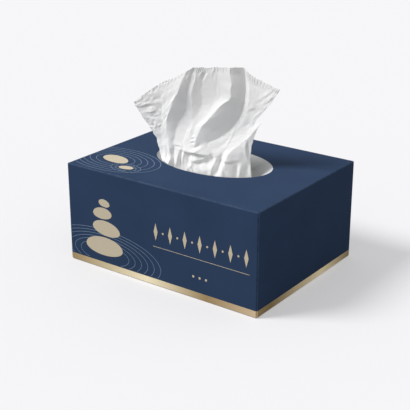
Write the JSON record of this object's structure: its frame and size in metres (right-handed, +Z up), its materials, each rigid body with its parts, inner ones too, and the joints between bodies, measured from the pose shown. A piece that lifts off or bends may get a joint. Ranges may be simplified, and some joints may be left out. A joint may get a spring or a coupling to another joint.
{
  "type": "tissue box",
  "caption": "Low dark blue carton with a gold foot band and an oval mouth, a slit film under it, and a gathered paper tissue standing out of the stack inside.",
  "frame": {"origin": "centre of the base, on the surface the box stands on", "axes": "+Z up, the long front face towards -Y, +X to the right along the front"},
  "size_m": [0.2, 0.152, 0.1752],
  "materials": {
    "printed_board": "satin",
    "film": "satin",
    "tissue": "matte"
  },
  "bodies": {
    "root": {"carton": "printed_board", "slit_film": "film", "tissue_stack": "tissue", "popup_tissue": "tissue"}
  },
  "joints": []
}
